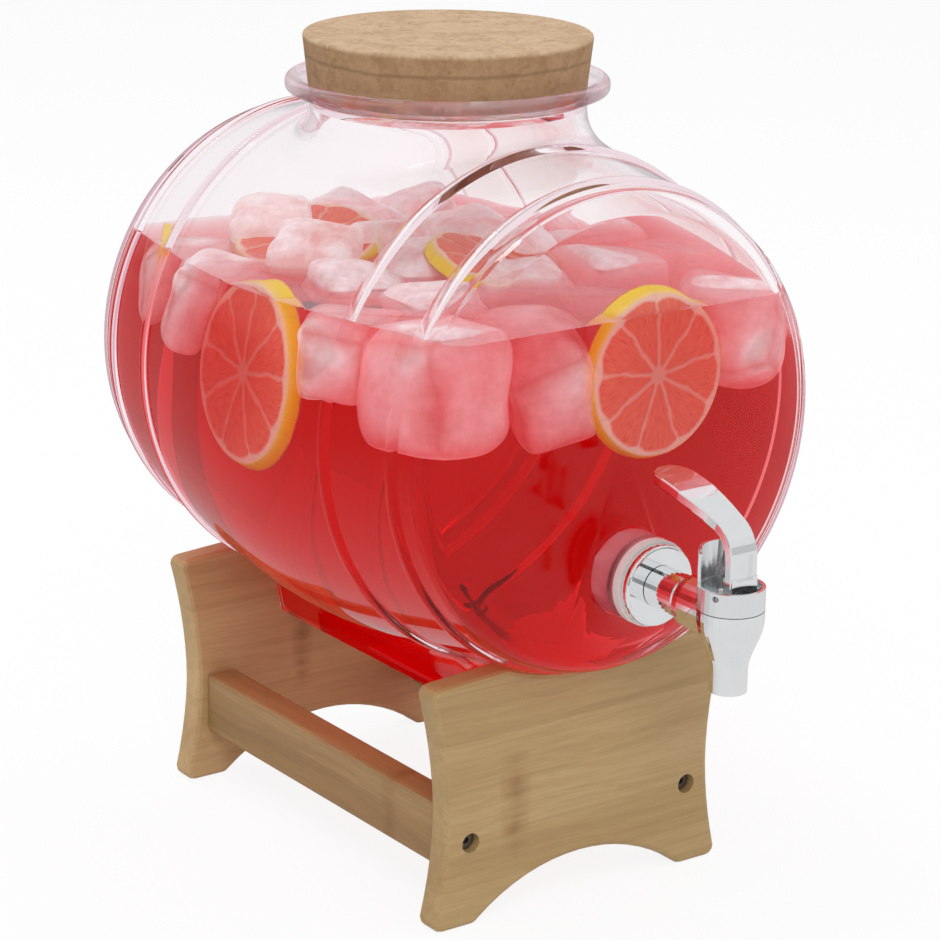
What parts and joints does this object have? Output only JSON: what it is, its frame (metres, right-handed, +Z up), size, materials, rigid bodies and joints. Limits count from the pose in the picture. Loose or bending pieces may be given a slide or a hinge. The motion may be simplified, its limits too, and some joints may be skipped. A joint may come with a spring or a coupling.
{
  "type": "glass juice dispenser",
  "caption": "Barrel-shaped glass drink dispenser lying in a bamboo stand, with a cork lid and a spring-return lever tap at its front.",
  "frame": {"origin": "on the surface that the stand's feet rest on, under the middle of the whole object's bounding box", "axes": "+Z up, the tap looks along -Y, and +X is to the right for someone who faces the tap"},
  "size_m": [0.2192, 0.3162, 0.3345],
  "materials": {
    "clear_glass": "clear, polished",
    "cork": "pressed cork granules, matt",
    "bamboo": "laminated bamboo, fine satin lacquer",
    "dowel_wood": "plain beech, matt",
    "chrome": "bright chrome plate",
    "steel": "plain zinc-plated steel",
    "silicone": "translucent white silicone, matt",
    "white_plastic": "moulded, satin"
  },
  "bodies": {
    "stand": {"front_board": "bamboo", "rear_board": "bamboo", "left_rail": "bamboo", "right_rail": "bamboo", "front_left_screw": "steel", "front_right_screw": "steel", "rear_left_screw": "steel", "rear_right_screw": "steel", "front_left_dowel": "dowel_wood", "front_right_dowel": "dowel_wood", "rear_left_dowel": "dowel_wood", "rear_right_dowel": "dowel_wood"},
    "vessel": {"glass_barrel": "clear_glass", "glass_front": "clear_glass", "glass_neck": "clear_glass", "glass_foot": "clear_glass", "tap_body": "chrome", "tap_flange": "chrome", "outer_gasket": "silicone", "inner_gasket": "silicone", "shank_nut": "white_plastic", "bonnet": "chrome", "lever_pin": "steel", "stem_ring": "silicone", "return_spring": "steel"},
    "lid": {"cork_lid": "cork"},
    "tap_lever": {"lever": "chrome"},
    "valve": {"valve_stem": "white_plastic", "valve_seal": "silicone"}
  },
  "joints": [
    {"name": "vessel_lift", "type": "slide", "parent": "stand", "child": "vessel", "axis": [0, 0, 1], "range_m": [0, 0.06]},
    {"name": "lid_lift", "type": "slide", "parent": "vessel", "child": "lid", "axis": [0, 0, 1], "range_m": [0, 0.04]},
    {"name": "lever_hinge", "type": "hinge", "parent": "vessel", "child": "tap_lever", "pos_m": [0, -0.15015, 0.15424], "axis": [1, 0, 0], "range_deg": [0, 32], "stiffness_Nm_per_rad": 0.004, "springref_deg": -11.46},
    {"name": "valve_slide", "type": "slide", "parent": "vessel", "child": "valve", "axis": [0, 0, 1], "range_m": [0, 0.0032], "stiffness_N_per_m": 0.1, "springref_m": 0.0665, "deforming": ["return_spring"]}
  ],
  "couplings": [
    {"joint": "valve_slide", "follows": "lever_hinge", "m_per_rad": 0.0056}
  ]
}
